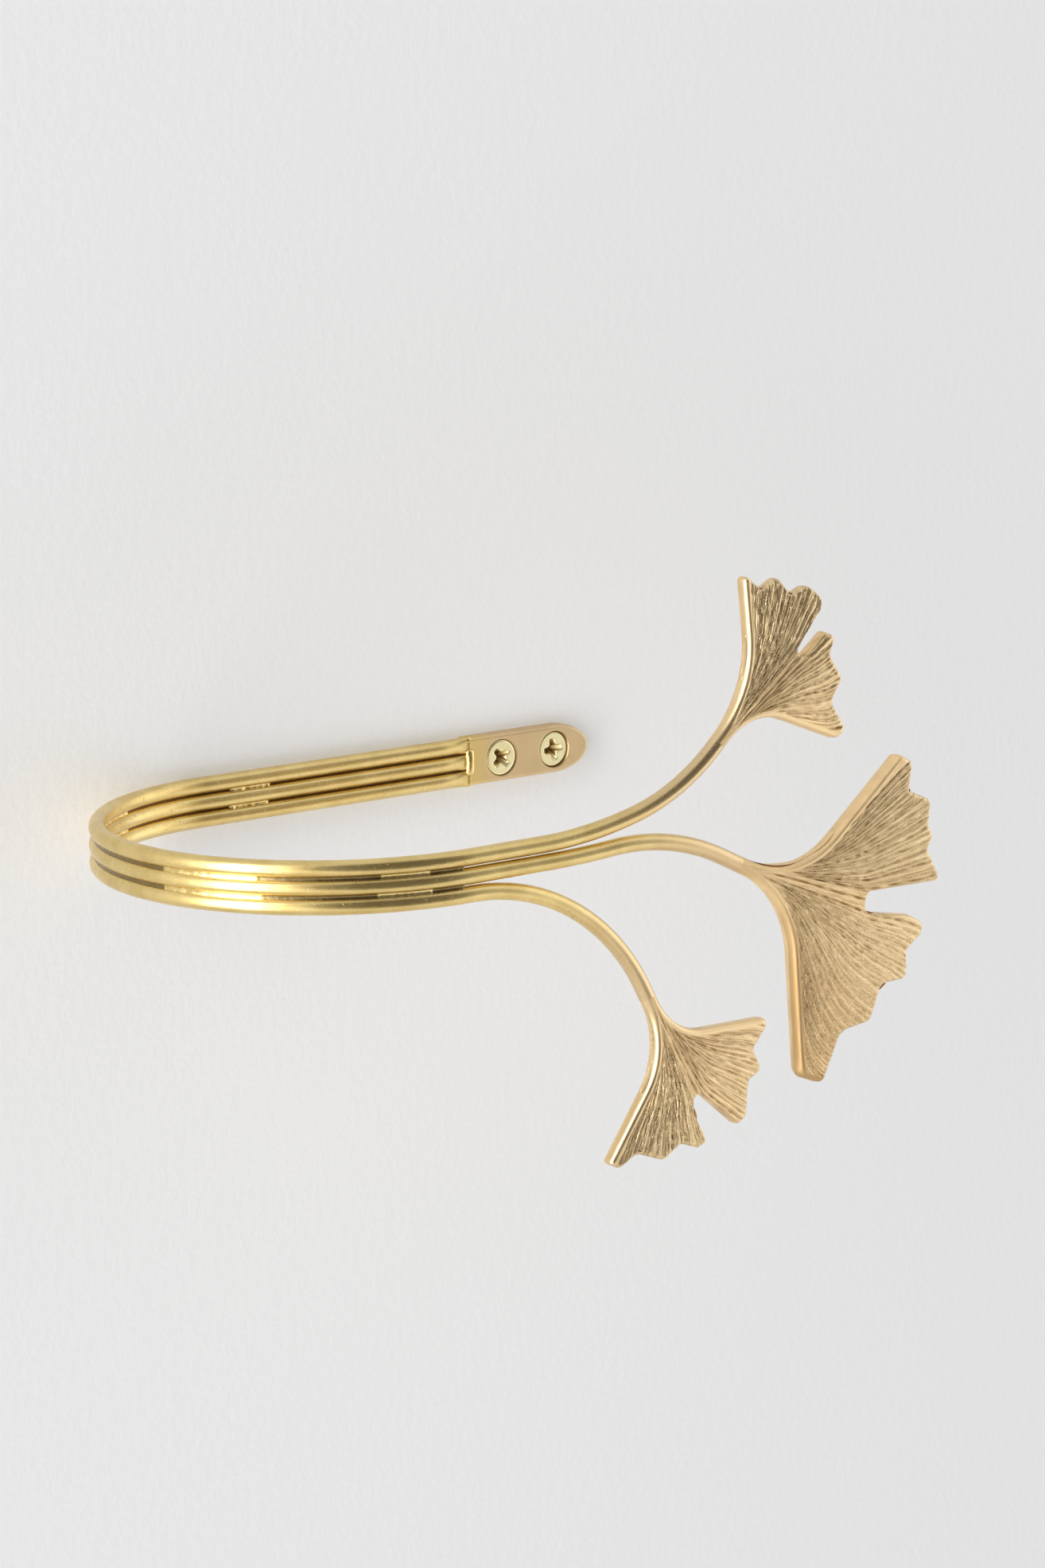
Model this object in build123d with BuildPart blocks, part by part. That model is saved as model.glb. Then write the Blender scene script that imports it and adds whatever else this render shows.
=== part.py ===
from build123d import *
import os
from math import atan2, cos, degrees, radians, sin, sqrt, tan

# A curtain tieback for the wall. Three round brass rods, brazed side by side, leave a screw plate,
# run along the wall, turn round the curtain and splay into stems that carry cast fan-shaped leaves.
# Millimetres. The wall is the plane Y = 0 and the room is at -Y. +X runs along the wall from the
# bend towards the leaves, and +Z is up. The origin is on the wall, midway between the two screws.

# Rods: the wall leg and the bend are the same for all three
rod_dia = 3.5
rod_gap = 0.2
wall_run = 70.5
bend_radius = 47.2
bend_turn = 180.0

# Splay of the stems in the front plane: a straight run, then arcs (up is positive) and a tail
top_run = 17.1
top_lift_radius = 102.0
top_lift_turn = 13.9
top_sweep_radius = 47.3
top_sweep_turn = 29.5
top_tail = 0.2
middle_run = 19.0
middle_lift_radius = 230.0
middle_lift_turn = 4.2
middle_drop_radius = 54.0
middle_drop_turn = -30.9
middle_tail = 5.0
bottom_run = 0.7
bottom_drop_radius = 48.4
bottom_drop_turn = -62.5
bottom_tail = 1.8

# Wall plate: a strip as wide as the three rods, with an elliptical nose
plate_width = 11.0
plate_thickness = 3.0
plate_bevel = 0.5
rods_to_screw = 8.4
screw_to_tip = 9.9
nose_length = 9.4

# Countersunk wall screws: the outer one is driven in a little deeper
screw_spacing = 15.0
screw_length = 25.0
head_dia = 8.1
head_cone_angle = 90.0
shank_dia = 4.2
thread_dia = 3.6
thread_start = 0.3
point_length = 5.0
recess_span = 4.6
recess_width = 1.1
recess_depth = 1.7
recess_taper = 12.0
inner_recess_turn = 40.0
outer_recess_turn = 8.0
outer_screw_sink = 0.5
head_seat_gap = 0.04
shank_gap = 0.25

# Braze: webs in the grooves between the rods, and a bead where the middle rod meets the plate
web_depth = 2.4
web_joint_gap = 0.02
wall_web_start = 53.0
wall_web_length = 11.3
bend_webs = [(28.0, 17.0), (103.0, 26.0), (156.0, 13.0)]
bead_width = 1.8
bead_length = 5.6
bead_height = 0.8
bead_round = 0.5

# Leaves: each margin runs from the left side's tip to the right side's, seen from the room. Its corners
# are (reach, angle, rounding), about the end of the stem. Long reaches are the points of the lobes, short
# ones the dips between them, and the two shortest are the bottom of the notch that parts the lobes.
small_leaf_thickness = 3.2
large_leaf_thickness = 3.9
leaf_bevel = 0.5
neck_length = 2.5
neck_width = 3.4
vein_width = 0.9
vein_depth = 0.5
vein_start = 9.0

top_margin = [
    (35.3, 34.5, 0.9), (32.9, 24.9, 0.6), (36.6, 20.1, 1.4), (34.9, 12.1, 0.6), (38.8, 8.4, 2.6),
    (39.3, -0.8, 1.4), (27.0, -4.2, 0.9), (27.3, -8.7, 0.9), (34.9, -7.8, 1.0), (36.8, -12.4, 1.0),
    (33.6, -16.4, 2.0), (35.3, -27.2, 0.8), (31.4, -33.9, 1.8), (35.9, -46.0, 1.2), (32.4, -48.6, 2.5),
]
top_left_flare = 24.0
top_right_flare = 13.0
top_vein_count = 13

middle_margin = [
    (48.1, 47.7, 1.2), (51.0, 44.2, 1.9), (48.2, 37.7, 0.8), (54.1, 33.6, 1.0), (52.7, 28.0, 1.2),
    (53.9, 25.4, 1.0), (52.4, 22.2, 0.8), (57.2, 15.3, 0.7), (36.5, 9.5, 1.3), (36.6, 2.5, 2.2),
    (50.0, 6.4, 5.0), (56.0, 5.2, 1.4), (52.5, -1.8, 1.5), (56.1, -7.3, 1.0), (50.4, -12.0, 2.0),
    (53.6, -20.3, 1.1), (49.3, -27.9, 2.4), (56.2, -38.2, 1.7), (51.4, -43.3, 0.9),
]
middle_left_flare = 21.5
middle_right_flare = 24.0
middle_vein_count = 17

bottom_margin = [
    (35.5, 46.7, 1.5), (32.4, 33.3, 1.2), (36.9, 28.9, 1.0), (34.9, 22.8, 0.9), (39.4, 13.6, 2.0),
    (38.9, 9.3, 1.0), (25.8, 2.7, 0.8), (26.1, -1.3, 0.9), (29.0, -3.6, 3.0), (36.2, -2.7, 1.1),
    (36.4, -6.9, 0.9), (33.4, -13.2, 1.8), (35.5, -20.9, 0.9), (32.8, -32.3, 1.6), (35.8, -38.8, 0.9),
    (35.1, -43.7, 0.8),
]
bottom_left_flare = 14.0
bottom_right_flare = 17.0
bottom_vein_count = 13

# Places that follow from the sizes above
rod_radius = rod_dia / 2
rod_pitch = rod_dia + rod_gap
inner_screw_x = -screw_spacing / 2
outer_screw_x = screw_spacing / 2
plate_start = inner_screw_x - rods_to_screw
plate_tip = outer_screw_x + screw_to_tip
bend_start = plate_start - wall_run
bend_centre = Vector(bend_start, -rod_radius - bend_radius, 0)
to_room = (0, -1, 0)
to_leaves = (1, 0, 0)
plate_face = Plane(origin=(0, -plate_thickness, 0), x_dir=to_leaves, z_dir=to_room)


def bent_rod(row, front_run, splay, tail):
    """One rod of the stack: wall leg, bend, front leg and the arcs of its stem."""
    with BuildPart() as rod:
        with BuildLine(Plane.XY.offset(row * rod_pitch)):
            wall_leg = Line((plate_start, -rod_radius), (bend_start, -rod_radius))
            bend = JernArc(wall_leg @ 1, wall_leg % 1, bend_radius, bend_turn)
            last = Line(bend @ 1, bend @ 1 + (bend % 1) * front_run)
        with BuildLine(Plane(origin=last @ 1, x_dir=to_leaves, z_dir=to_room)):
            for radius, turn in splay:
                last = JernArc(last @ 1, last % 1, radius, turn)
            Line(last @ 1, last @ 1 + (last % 1) * tail)
        with BuildSketch(Plane(origin=wall_leg @ 0, z_dir=wall_leg % 0)):
            Circle(rod_radius)
        sweep()
    stem_end = last @ 1 + (last % 1) * tail
    return rod, stem_end, last % 1


def polar(reach, angle):
    """A point of a leaf's margin, in the leaf's own plane."""
    return (reach * cos(radians(angle)), reach * sin(radians(angle)))


def flare_turn(tip, radius):
    """How far a side turns on its flare before it runs straight to the tip."""
    along = tip[0] - neck_length
    across = abs(tip[1]) - neck_width / 2 - radius
    straight = sqrt(along**2 + across**2 - radius**2)
    return degrees(atan2(across, along) + atan2(radius, straight))


def fan_centre(left, right, left_flare, right_flare):
    """Where the straight parts of both sides meet, from which the veins spread."""
    left_turn, right_turn = radians(flare_turn(left, left_flare)), radians(flare_turn(right, right_flare))
    span_x, span_y = left[0] - right[0], left[1] - right[1]
    reach = (span_y * cos(right_turn) + span_x * sin(right_turn)) / sin(left_turn + right_turn)
    return (left[0] - reach * cos(left_turn), left[1] - reach * sin(left_turn)), left_turn, right_turn


def fan_leaf(stem_end, heading, margin, flares, thickness, vein_count):
    """A cast leaf: a neck from the round stem, a lobed fan with bevelled rims, and vein grooves."""
    face = Plane(origin=stem_end, x_dir=heading, z_dir=to_room)
    left_flare, right_flare = flares
    corners = [polar(reach, angle) for reach, angle, rounding in margin]
    roundings = [rounding for reach, angle, rounding in margin]
    left_tip, right_tip = corners[0], corners[-1]
    with BuildPart() as leaf:
        with BuildSketch(face):
            with BuildLine():
                left_neck = (neck_length, neck_width / 2)
                right_neck = (neck_length, -neck_width / 2)
                left_side = JernArc(left_neck, to_leaves, left_flare, flare_turn(left_tip, left_flare))
                right_side = JernArc(right_neck, to_leaves, right_flare, -flare_turn(right_tip, right_flare))
                FilletPolyline(left_side @ 1, *corners, right_side @ 1, radius=roundings)
                Line(left_neck, right_neck)
            make_face()
        extrude(amount=thickness / 2, both=True)
        neck_wall = leaf.faces().sort_by(Axis(stem_end, heading))[0]
        rim = leaf.faces().filter_by(Axis.Y).edges() - neck_wall.edges()
        chamfer(rim, leaf_bevel)
        neck_across = face.y_dir
        with BuildSketch(Plane(origin=stem_end, x_dir=neck_across, z_dir=heading)):
            Circle(rod_radius)
        with BuildSketch(Plane(origin=stem_end + heading * neck_length, x_dir=neck_across, z_dir=heading)):
            Rectangle(neck_width, thickness)
            chamfer(vertices(), leaf_bevel)
        loft()
        centre, left_turn, right_turn = fan_centre(left_tip, right_tip, left_flare, right_flare)
        vein_length = max(reach for reach, angle, rounding in margin) - centre[0]
        for vein in range(vein_count):
            angle = (left_turn + right_turn) * (vein + 0.5) / vein_count - right_turn
            start = (centre[0] + vein_start * cos(angle), centre[1] + vein_start * sin(angle), thickness / 2)
            spoke = face.x_dir * cos(angle) + face.y_dir * sin(angle)
            across = Vector(to_room).cross(spoke)
            # The groove starts at nothing, sinks towards the margin and is drawn to stand above the face
            with BuildSketch(Plane(origin=face.from_local_coords(start), x_dir=across, z_dir=spoke)):
                with BuildLine():
                    Polyline((0, 0), (vein_width, 2 * vein_depth), (-vein_width, 2 * vein_depth), close=True)
                make_face()
            slope = spoke * vein_length - Vector(to_room) * vein_depth
            extrude(amount=slope.length, dir=slope, mode=Mode.SUBTRACT)
    return leaf


def web_section():
    """Draws the braze between two rods: a strip hollowed by both of them."""
    Rectangle(web_depth, rod_pitch)
    with Locations((0, rod_pitch / 2), (0, -rod_pitch / 2)):
        Circle(rod_radius + web_joint_gap, mode=Mode.SUBTRACT)


os.makedirs("parts", exist_ok=True)

with BuildPart() as wall_plate:
    with BuildSketch(Plane(origin=(0, 0, 0), x_dir=to_leaves, z_dir=to_room)):
        with BuildLine():
            nose_start = plate_tip - nose_length
            half_width = plate_width / 2
            Line((plate_start, half_width), (nose_start, half_width))
            Line((plate_start, half_width), (plate_start, -half_width))
            Line((plate_start, -half_width), (nose_start, -half_width))
            EllipticalCenterArc((nose_start, 0), nose_length, half_width, start_angle=-90, arc_size=180)
        make_face()
    extrude(amount=plate_thickness)
    front_rim = wall_plate.faces().sort_by(Axis.Y)[0].edges().sort_by(Axis.X)[1:]
    chamfer(front_rim, plate_bevel)
    for screw_x, sink in ((inner_screw_x, 0), (outer_screw_x, outer_screw_sink)):
        with Locations(Plane(origin=(screw_x, -plate_thickness, 0), x_dir=to_leaves, z_dir=to_room)):
            CounterSinkHole(
                shank_dia / 2 + shank_gap,
                head_dia / 2 + head_seat_gap + sink,
                depth=plate_thickness,
                counter_sink_angle=head_cone_angle,
            )
wall_plate.part.label = "wall_plate"
export_step(wall_plate.part, "parts/wall_plate.step")

head_depth = (head_dia - shank_dia) / 2 / tan(radians(head_cone_angle / 2))
with BuildPart() as wall_screws:
    for screw_x, sink, recess_turn in (
        (inner_screw_x, 0, inner_recess_turn),
        (outer_screw_x, outer_screw_sink, outer_recess_turn),
    ):
        head_top = sink - plate_thickness
        thread_depth = thread_start - head_top
        with BuildSketch(Plane(origin=(screw_x, head_top, 0), x_dir=to_leaves, z_dir=(0, 0, 1))):
            with BuildLine():
                Polyline(
                    (0, 0),
                    (head_dia / 2, 0),
                    (shank_dia / 2, head_depth),
                    (shank_dia / 2, thread_depth),
                    (thread_dia / 2, thread_depth),
                    (thread_dia / 2, screw_length - point_length),
                    (0, screw_length),
                    close=True,
                )
            make_face()
        revolve(axis=Axis((screw_x, 0, 0), (0, 1, 0)))
        with BuildSketch(Plane(origin=(screw_x, head_top, 0), x_dir=to_leaves, z_dir=(0, 1, 0))):
            Rectangle(recess_span, recess_width, rotation=recess_turn)
            Rectangle(recess_width, recess_span, rotation=recess_turn)
        extrude(amount=recess_depth, taper=recess_taper, mode=Mode.SUBTRACT)
wall_screws.part.label = "wall_screws"
export_step(wall_screws.part, "parts/wall_screws.step")

top_splay = [(top_lift_radius, top_lift_turn), (top_sweep_radius, top_sweep_turn)]
top_rod, top_end, top_heading = bent_rod(1, top_run, top_splay, top_tail)
top_rod.part.label = "top_rod"
export_step(top_rod.part, "parts/top_rod.step")

middle_splay = [(middle_lift_radius, middle_lift_turn), (middle_drop_radius, middle_drop_turn)]
middle_rod, middle_end, middle_heading = bent_rod(0, middle_run, middle_splay, middle_tail)
middle_rod.part.label = "middle_rod"
export_step(middle_rod.part, "parts/middle_rod.step")

bottom_splay = [(bottom_drop_radius, bottom_drop_turn)]
bottom_rod, bottom_end, bottom_heading = bent_rod(-1, bottom_run, bottom_splay, bottom_tail)
bottom_rod.part.label = "bottom_rod"
export_step(bottom_rod.part, "parts/bottom_rod.step")

with BuildPart() as braze:
    for groove in (rod_pitch / 2, -rod_pitch / 2):
        web_end = Vector(plate_start - wall_web_start, -rod_radius, groove)
        with BuildSketch(Plane(origin=web_end, x_dir=to_room, z_dir=(-1, 0, 0))):
            web_section()
        extrude(amount=wall_web_length)
        for start, turn in bend_webs:
            outward = Vector(-sin(radians(start)), cos(radians(start)), 0)
            along = Vector(-cos(radians(start)), -sin(radians(start)), 0)
            web_end = bend_centre + outward * bend_radius + Vector(0, 0, groove)
            with BuildSketch(Plane(origin=web_end, x_dir=outward, z_dir=along)):
                web_section()
            revolve(axis=Axis(bend_centre, (0, 0, 1)), revolution_arc=turn)
    with BuildSketch(plate_face):
        with Locations((plate_start + bead_width / 2, 0)):
            SlotOverall(bead_length, bead_width, rotation=90)
    bead = extrude(amount=bead_height)
    fillet(bead.faces().sort_by(Axis.Y)[0].edges(), bead_round)
braze.part.label = "braze"
export_step(braze.part, "parts/braze.step")

top_leaf = fan_leaf(
    top_end, top_heading, top_margin, (top_left_flare, top_right_flare),
    small_leaf_thickness, top_vein_count,
)
top_leaf.part.label = "top_leaf"
export_step(top_leaf.part, "parts/top_leaf.step")

middle_leaf = fan_leaf(
    middle_end, middle_heading, middle_margin, (middle_left_flare, middle_right_flare),
    large_leaf_thickness, middle_vein_count,
)
middle_leaf.part.label = "middle_leaf"
export_step(middle_leaf.part, "parts/middle_leaf.step")

bottom_leaf = fan_leaf(
    bottom_end, bottom_heading, bottom_margin, (bottom_left_flare, bottom_right_flare),
    small_leaf_thickness, bottom_vein_count,
)
bottom_leaf.part.label = "bottom_leaf"
export_step(bottom_leaf.part, "parts/bottom_leaf.step")
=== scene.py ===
import math
from collections import namedtuple

import bpy
import numpy as np
from mathutils import Matrix, Vector


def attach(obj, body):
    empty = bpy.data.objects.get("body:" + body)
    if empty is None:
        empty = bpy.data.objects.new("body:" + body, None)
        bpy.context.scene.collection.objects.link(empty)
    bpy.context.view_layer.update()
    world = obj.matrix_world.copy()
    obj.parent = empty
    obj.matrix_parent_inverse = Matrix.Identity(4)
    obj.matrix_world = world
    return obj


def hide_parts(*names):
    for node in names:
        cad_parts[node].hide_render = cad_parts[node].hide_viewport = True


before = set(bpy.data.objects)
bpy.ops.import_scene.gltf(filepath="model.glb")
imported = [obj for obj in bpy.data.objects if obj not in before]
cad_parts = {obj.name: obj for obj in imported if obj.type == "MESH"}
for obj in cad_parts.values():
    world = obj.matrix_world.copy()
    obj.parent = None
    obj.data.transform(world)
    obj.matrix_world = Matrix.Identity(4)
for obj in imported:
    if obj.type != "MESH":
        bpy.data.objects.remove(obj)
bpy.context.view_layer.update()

# Lengths are in millimetres and angles in degrees, in the solids' frame, until a mesh is written.
MM = 0.001
FULL_TURN = 2.0 * math.pi
TOUCHING = 1e-5
CHUNK = 1500
chance = np.random.default_rng(7)

# Rods: (place in the stack, length of the front leg, the stem's arcs as (radius, turn), its straight tail)
ROD_RADIUS = 1.75
ROD_PITCH = 3.7
PLATE_START = -15.9
WALL_RUN = 70.5
BEND_RADIUS = 47.2
BEND_TURN = 180.0
RODS = {
    "top_rod": (1, 17.1, [(102.0, 13.9), (47.3, 29.5)], 0.2),
    "middle_rod": (0, 19.0, [(230.0, 4.2), (54.0, -30.9)], 5.0),
    "bottom_rod": (-1, 0.7, [(48.4, -62.5)], 1.8)}
ROD_SIDES = 56
WALL_STEPS = 60
BEND_STEPS = 181
STEM_STEP = 0.8
ROD_WOBBLE = 0.006
ROD_WAVES = (3, 9.0, 30.0)
WARM_SPAN = (3.0, 45.0)
UV_UNIT = 10.0

# A rod goes on inside its leaf: (length past the stem's end, share of the radius there)
ROD_TAIL = [(0.03, 1.0), (0.1, 0.9), (1.0, 0.6)]

# Rods by the plate: pressed to its thickness, and square in section
PLATE_BLEND = 8.0
SQUARE_BLEND = 4.0
SQUARE_POWER = 3.0
SQUARE_SPREAD = 0.9

# Leaves: a margin's corners are (reach, angle, rounding) about the stem's end, from the left as seen from
# the room, and its splits are the left tip, the notch's bottom, the right lobe and the right tip. Pairs are
# for the left and the right. The lobes lean back by tilt, tip_shade darkens the right tip with painted
# shade, and a shine below 0 leaves the sides duller than the face.
LEAVES = {
    "top_leaf": dict(
        rod="top_rod", flares=(24.0, 13.0), thickness=3.2, tilt=4.0,
        veins=(8, 7), grain=(0.9, 0.4), shine=0.4, tip_shade=0.0, splits=(0, 6, 8, 13),
        margin=[
            (35.3, 34.5, 0.9), (32.9, 24.9, 0.6), (36.6, 20.1, 1.4), (34.9, 12.1, 0.6), (38.8, 8.4, 2.6),
            (39.3, -0.8, 2.6), (27.0, -4.2, 0.9), (27.3, -8.7, 0.9), (34.9, -7.8, 1.0), (36.8, -12.4, 1.5),
            (33.6, -16.4, 2.0), (35.3, -27.2, 1.6), (31.4, -33.9, 1.8), (35.9, -46.0, 1.6),
            (32.4, -48.6, 2.5)]),
    "middle_leaf": dict(
        rod="middle_rod", flares=(21.5, 24.0), thickness=3.9, tilt=3.0,
        veins=(12, 15), grain=(0.5, 0.6), shine=-1.2, tip_shade=0.8, splits=(0, 8, 11, 17),
        margin=[
            (48.1, 47.7, 1.2), (51.0, 44.2, 1.9), (48.2, 37.7, 0.8), (54.1, 33.6, 1.8), (52.7, 28.0, 1.2),
            (53.9, 25.4, 1.0), (52.4, 22.2, 0.8), (57.2, 15.3, 1.3), (36.5, 9.5, 1.3), (36.6, 2.5, 2.2),
            (50.0, 6.4, 5.0), (56.0, 5.2, 2.2), (52.5, -1.8, 1.5), (56.1, -7.3, 1.7), (50.4, -12.0, 2.0),
            (53.6, -20.3, 2.0), (49.3, -27.9, 2.4), (56.2, -38.2, 1.7), (51.4, -43.3, 0.9)]),
    "bottom_leaf": dict(
        rod="bottom_rod", flares=(14.0, 17.0), thickness=3.2, tilt=4.0,
        veins=(9, 9), grain=(0.4, 0.8), shine=0.6, tip_shade=0.0, splits=(0, 6, 9, 15),
        margin=[
            (35.5, 46.7, 1.5), (32.4, 33.3, 1.2), (36.9, 28.9, 1.6), (34.9, 22.8, 0.9), (39.4, 13.6, 2.0),
            (38.9, 9.3, 1.6), (25.8, 2.7, 0.8), (26.1, -1.3, 0.9), (29.0, -3.6, 3.0), (36.2, -2.7, 1.1),
            (36.4, -6.9, 0.9), (33.4, -13.2, 1.8), (35.5, -20.9, 1.8), (32.8, -32.3, 1.6),
            (35.8, -38.8, 1.2), (35.1, -43.7, 0.8)])}
NECK_LENGTH = 2.5
NECK_WIDTH = 3.4
NECK_BLEND = 9.0
NECK_BROWN = 0.3
EDGE_ROUND = 0.9
EDGE_POWER = 0.4
FACE_START = 2.2 * EDGE_ROUND
POLISH_END = 1.6 * EDGE_ROUND
SEAM_OFFSET = 0.3
SEAM_FADE = 0.25
CREASE_ROUND = 4.0
TIP_SHADE_SPAN = (4.0, 34.0)

# Grids over a leaf: crowded towards its rims, and relaxed further out
INNER_ROWS = 56
INNER_CROWD = 1.4
OUTER_ROWS = 36
OUTER_CROWD = (0.5, 0.9)
LOBE_COLUMNS = 187
LOBE_CROWD = (0.85, 0.85)
STRIP_COLUMNS = 31
ARC_STEP = 9.0
SIDE_STEPS = 24
RELAX_PASSES = 90
RELAX_SPAN = (0.35, 0.65)

# Veins: families of (veins for each one counted, offset, start, depth, half width), deepened and widened
# by a lobe's grain, which also raises lumps in cells along and across it
VEIN_FAMILIES = [(1, 0.0, 1.0, 0.32, 0.22), (1, 0.5, 9.0, 0.28, 0.19), (2, 0.25, 18.0, 0.20, 0.15)]
VEIN_SPACE = (0.7, 2.6)
VEIN_JITTER = 0.2
VEIN_STARTS = (-0.25, 0.35)
VEIN_DEPTHS = (0.7, 1.1)
VEIN_DRIFT = 0.03
VEIN_DRIFT_WAVES = (2, 12.0, 30.0)
VEIN_FADE = 4.0
VEIN_RIPPLE = 0.25
VEIN_RIPPLE_WAVES = (3, 2.0, 9.0)
GRAIN_DEEPENS = 0.5
GRAIN_WIDENS = 0.35
GRAIN_DEPTH = 0.03
GROOVE_FULL = 0.28
GRAIN_FULL = 0.14
MOTTLE_CELLS = (45, 70)
VEINS_PER_UV = 4.0
LOBE_UV_SHIFT = 9.0

# Plate: PLATE_LAP of it lies inside the pressed rods
PLATE_WIDTH = 11.0
PLATE_THICKNESS = 3.0
PLATE_EDGE = 1.0
PLATE_POWER = 3.0
PLATE_TIP = 17.4
PLATE_LAP = 1.2
NOSE_LENGTH = 9.4
PLATE_ROWS = 240
PLATE_COLUMNS = 121
PLATE_CROWD = (0.7, 0.7)
NOSE_CROWD = 1.6

# Screws: (place along the plate, sink, turn of the recess)
SCREWS = [(-7.5, 0.0, 40.0), (7.5, 0.5, 8.0)]
SCREW_SIDES = 144
HEAD_RADIUS = 4.05
HEAD_RIM = 0.5
HEAD_ROWS = 46
RIM_TURN = 135.0
RIM_ROWS = 10
SEAT_GAP = 0.18
SEAT_SLOPE = 4.0
SEAT_SPAN = (-0.05, 0.15)
RECESS_REACH = 2.6
RECESS_HALF = 0.85
RECESS_DEPTH = 2.0
RECESS_SLANT = 1.25
RECESS_FLAT = 0.45
BOWL_FROM = 0.15
BOWL_TO = 0.6
SHANK_RADIUS = 2.1
THREAD_CORE = 1.45
THREAD_CREST = 2.0
THREAD_PITCH = 1.6
THREAD_START = 0.3
THREAD_FADE = 0.4
THREAD_STEP = 0.2
THREAD_SHARPNESS = 1.6
SCREW_LENGTH = 25.0
POINT_LENGTH = 5.0
POINT_POWER = 0.8

# Filler metal: a line in each groove that gets fuller round the bend, by shares of its radius, and webs as
# (start, length, reach), along the wall leg or in degrees round the bend
# Where a groove's line is not filled, it is a near black sheet of painted shade between the rods
GROOVE_END = 217.0
GROOVE_STEP = 0.3
GROOVE_REACH = 0.35
FRONT_REACH = 1.0
FULLER_FROM = 0.4
FULLER_TO = 1.4
FULLER_SWELL = 0.16
WALL_WEB = (53.0, 11.3, 1.0)
BEND_WEBS = [(28.0, 17.0, 0.9), (103.0, 26.0, 1.1), (156.0, 13.0, 1.2)]
WEB_SHIFT = 0.8
WEB_END = 0.7
WEB_BODY = 0.86
WEB_RIPPLE = 0.10
WEB_WAVES = (4, 1.2, 6.0)
DROP_PLACE = 0.9
DROP_HALF = 0.45
DROP_SWELL = 0.16
GROOVE_COLUMNS = 9
CAP_COLUMNS = 7
CAP_SAG = 0.35
ROD_OVERLAP = 0.03
FILL_GAIN = 1.4
BEAD_HALF = (1.6, 1.0, 2.9)
BEAD_SHIFT = -0.4
BEAD_SIDES = 32
BEAD_ROWS = 25
BEAD_RISE = 1.5
BEAD_WAIST = 0.65
BEAD_POWER = 0.6

# Wall: an opening shows the backs of the rods and the plate
WALL_HALF = 1000.0
WALL_LIFT = 0.065
OPENING_INSET = 0.3
OPENING_LEG = ROD_PITCH + 0.4 * ROD_RADIUS
OPENING_ROUND = 0.97
OPENING_STEPS = 9

# Light: a tall window at the left, and an even room that is dark in front; sky stops are
# (height, level), from straight down at 0 to straight up at 1
WINDOW_PLACE = (-2280.0, -420.0, 200.0)
WINDOW_TARGET = (-110.0, -80.0, 200.0)
WINDOW_SIZE = (1100.0, 4000.0)
WINDOW_POWER = 70.0
SKY_DOWN = (0.50, 0.47, 0.44)
SKY_UP = (0.50, 0.50, 0.50)
SKY_STOPS = [(0.30, 0.80), (0.42, 1.05), (0.50, 1.10), (0.65, 0.95), (0.80, 0.75)]
SKY_STRENGTH = 1.5
SKY_SEEN = (0.80, 0.80, 0.80)
DARK_TONE = (0.04, 0.03, 0.02)
DARK_SHARE = 0.93
DARK_AZIMUTH = 182.0
DARK_ELEVATION = 14.0
DARK_REACH = 54.0
DARK_CORE = 39.0

# Camera
CAMERA_PLACE = (-585.9, -764.55, 183.57)
CAMERA_AZIMUTH = 37.495
CAMERA_ELEVATION = 11.216
CAMERA_ROLL = -0.575
CAMERA_LENS = 100.46
CAMERA_SENSOR = 36.0
CAMERA_NEAR = 10.0
CAMERA_FAR = 20000.0


def smooth(value, low, high):
    """An eased step from 0 at low to 1 at high."""
    share = np.clip((value - low) / (high - low), 0.0, 1.0)
    return share * share * (3.0 - 2.0 * share)


def waves(place, count, shortest, longest):
    """A seeded smooth wobble of about -1 to 1."""
    total = np.zeros_like(place)
    for pitch, phase in zip(chance.uniform(shortest, longest, count), chance.uniform(0, FULL_TURN, count)):
        total = total + np.sin(place / pitch * FULL_TURN + phase)
    return total / math.sqrt(count)


def crowded(count, low_share, high_share):
    """Shares from 0 to 1, crowded towards each end."""
    even = np.linspace(0.0, 1.0, count)
    return (even - low_share * np.sin(FULL_TURN * np.minimum(even, 0.5)) / FULL_TURN
            - high_share * np.sin(FULL_TURN * np.maximum(even, 0.5)) / FULL_TURN)


def unit(vector):
    return vector / np.linalg.norm(vector)


def lengths_along(line):
    """The length of a polyline up to each of its points."""
    return np.concatenate([[0.0], np.cumsum(np.linalg.norm(np.diff(line, axis=0), axis=1))])


def distance_to(points, *lines):
    """Each point's distance from the nearest of some lines."""
    tails = np.concatenate([line[:-1] for line in lines])
    steps = np.concatenate([np.diff(line, axis=0) for line in lines])
    squares = np.maximum((steps ** 2).sum(axis=1), 1e-12)
    nearest = []
    for chunk in np.array_split(points, max(1, len(points) // CHUNK)):
        offset = chunk[:, None] - tails[None]
        share = np.clip((offset * steps).sum(axis=2) / squares, 0.0, 1.0)
        nearest.append(np.sqrt(((offset - share[..., None] * steps) ** 2).sum(axis=2)).min(axis=1))
    return np.concatenate(nearest)


# Meshes

def new_object(name, data):
    piece = bpy.data.objects.new(name, data)
    bpy.context.scene.collection.objects.link(piece)
    return piece


def add_piece(name, points, faces, material, node, layers, uv=None):
    """A piece in place of a node, with layers and perhaps UVs for its points."""
    mesh = bpy.data.meshes.new(name)
    mesh.from_pydata((np.asarray(points) * MM).tolist(), [], faces)
    for layer, values in layers.items():
        mesh.attributes.new(layer, "FLOAT", "POINT").data.foreach_set("value", np.asarray(values, float))
    if uv is not None:
        corner = np.empty(len(mesh.loops), int)
        mesh.loops.foreach_get("vertex_index", corner)
        mesh.uv_layers.new(name="along").data.foreach_set("uv", np.asarray(uv)[corner].ravel())
    mesh.shade_smooth()
    mesh.materials.append(material)
    mesh.validate()
    piece = new_object(name, mesh)
    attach(piece, "root")
    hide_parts(node)


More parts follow.
